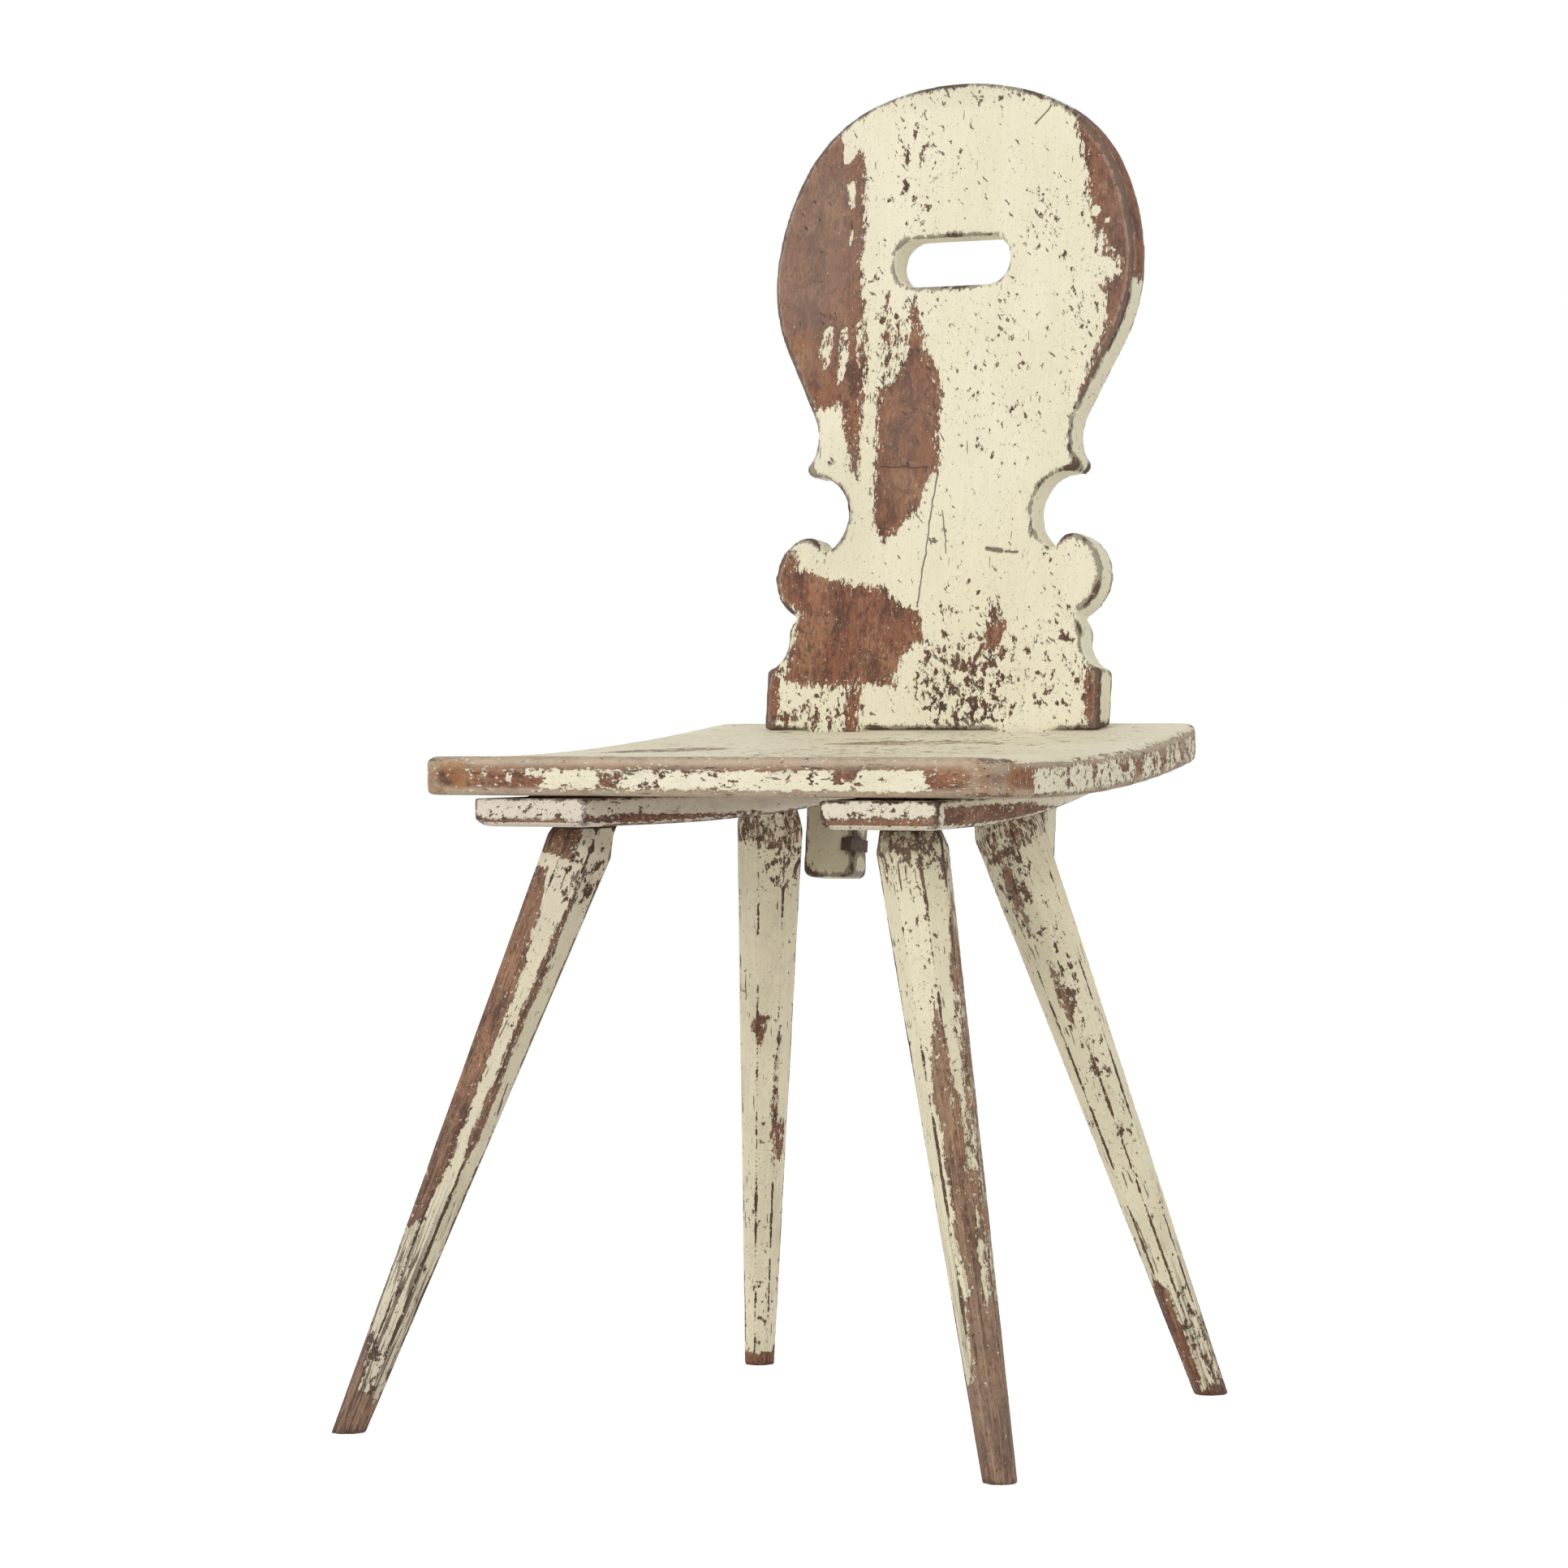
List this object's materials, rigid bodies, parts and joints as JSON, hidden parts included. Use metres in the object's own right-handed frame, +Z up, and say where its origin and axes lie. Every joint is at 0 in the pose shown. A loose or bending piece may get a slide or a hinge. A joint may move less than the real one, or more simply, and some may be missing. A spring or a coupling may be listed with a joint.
{
  "type": "board chair",
  "caption": "Painted wooden board chair with splayed tapered legs, a dished seat on dovetail battens, and a scroll-sawn back board with a hand hole.",
  "frame": {"origin": "on the floor, at the middle of the chair's bounding box: mid-plane between left and right, midway between the front and rear feet", "axes": "+Z up; -Y towards the front, where the sitter faces; +X to the right of someone who stands before the chair and looks at its front"},
  "size_m": [0.5156, 0.4554, 0.9193],
  "materials": {
    "cream_painted_wood": "old cream paint, worn through to red-brown wood at the edges",
    "bare_hardwood": "bare, darkened"
  },
  "bodies": {
    "root": {"seat_board": "cream_painted_wood", "back_board": "cream_painted_wood", "batten_left": "cream_painted_wood", "batten_right": "cream_painted_wood", "leg_front_left": "cream_painted_wood", "leg_front_right": "cream_painted_wood", "leg_rear_left": "cream_painted_wood", "leg_rear_right": "cream_painted_wood", "leg_wedge_front_left": "bare_hardwood", "leg_wedge_front_right": "bare_hardwood", "leg_wedge_rear_left": "bare_hardwood", "leg_wedge_rear_right": "bare_hardwood", "back_tenon_peg_left": "bare_hardwood", "back_tenon_peg_right": "bare_hardwood"}
  },
  "joints": []
}
